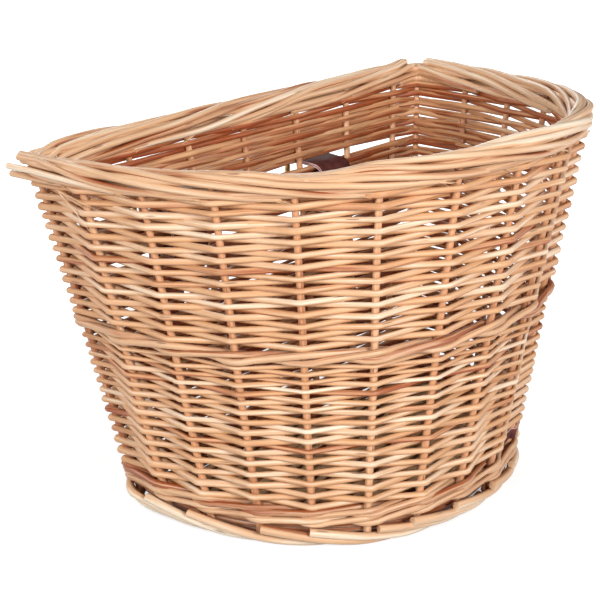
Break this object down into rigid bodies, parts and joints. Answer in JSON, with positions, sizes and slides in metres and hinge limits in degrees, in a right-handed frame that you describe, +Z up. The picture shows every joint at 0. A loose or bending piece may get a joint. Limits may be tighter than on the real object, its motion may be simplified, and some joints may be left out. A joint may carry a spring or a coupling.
{
  "type": "wicker basket",
  "caption": "D-shaped woven willow basket with a flat back, a curved flared front, bound rim and foot, and leather straps with buckles on its back.",
  "frame": {"origin": "on the ground, under the middle of the foot border's back run", "axes": "+X along the flat back, +Y out of the flat back, +Z up; the curved front faces -Y"},
  "size_m": [0.4026, 0.2908, 0.287],
  "materials": {
    "peeled_willow": "satin",
    "buff_willow": "satin",
    "bound_willow": "satin",
    "floor_willow": "satin",
    "leather": "smooth, waxed",
    "brass": "dull"
  },
  "bodies": {
    "basket": {"stake_01": "peeled_willow", "stake_02": "peeled_willow", "stake_03": "peeled_willow", "stake_04": "peeled_willow", "stake_05": "peeled_willow", "stake_06": "peeled_willow", "stake_07": "peeled_willow", "stake_08": "peeled_willow", "stake_09": "peeled_willow", "stake_10": "peeled_willow", "stake_11": "peeled_willow", "stake_12": "peeled_willow", "stake_13": "peeled_willow", "stake_14": "peeled_willow", "stake_15": "peeled_willow", "stake_16": "peeled_willow", "stake_17": "peeled_willow", "stake_18": "peeled_willow", "stake_19": "peeled_willow", "stake_20": "peeled_willow", "stake_21": "peeled_willow", "stake_22": "peeled_willow", "foot_border": "bound_willow", "upsett_wale": "bound_willow", "middle_wale": "bound_willow", "rim_border": "bound_willow", "lower_course_1": "buff_willow", "lower_course_2": "buff_willow", "lower_course_3": "buff_willow", "lower_course_4": "buff_willow", "upper_course_1": "buff_willow", "upper_course_2": "buff_willow", "upper_course_3": "buff_willow", "upper_course_4": "buff_willow", "floor_panel": "floor_willow", "floor_stick_1": "peeled_willow", "floor_stick_2": "peeled_willow", "floor_stick_3": "peeled_willow", "floor_stick_4": "peeled_willow", "floor_stick_5": "peeled_willow", "front_loop": "leather", "left_strap_saddle": "leather", "right_strap_saddle": "leather"},
    "left_tail": {"left_strap_tail": "leather"},
    "left_buckle": {"left_buckle_frame": "brass"},
    "left_prong": {"left_buckle_prong": "brass"},
    "right_tail": {"right_strap_tail": "leather"},
    "right_buckle": {"right_buckle_frame": "brass"},
    "right_prong": {"right_buckle_prong": "brass"}
  },
  "joints": [
    {"name": "left_tail_swing", "type": "hinge", "parent": "basket", "child": "left_tail", "pos_m": [-0.07539, 0.04327, 0.165], "axis": [1, 0, 0], "range_deg": [-6, 95]},
    {"name": "left_buckle_swing", "type": "hinge", "parent": "basket", "child": "left_buckle", "pos_m": [-0.07539, 0.05538, 0.199], "axis": [1, 0, 0], "range_deg": [-8, 100]},
    {"name": "left_prong_swing", "type": "hinge", "parent": "left_buckle", "child": "left_prong", "pos_m": [-0.07539, 0.05538, 0.199], "axis": [1, 0, 0], "range_deg": [0, 70]},
    {"name": "right_tail_swing", "type": "hinge", "parent": "basket", "child": "right_tail", "pos_m": [0.07539, 0.04327, 0.165], "axis": [1, 0, 0], "range_deg": [-6, 95]},
    {"name": "right_buckle_swing", "type": "hinge", "parent": "basket", "child": "right_buckle", "pos_m": [0.07539, 0.05538, 0.199], "axis": [1, 0, 0], "range_deg": [-8, 100]},
    {"name": "right_prong_swing", "type": "hinge", "parent": "right_buckle", "child": "right_prong", "pos_m": [0.07539, 0.05538, 0.199], "axis": [1, 0, 0], "range_deg": [0, 70]}
  ]
}
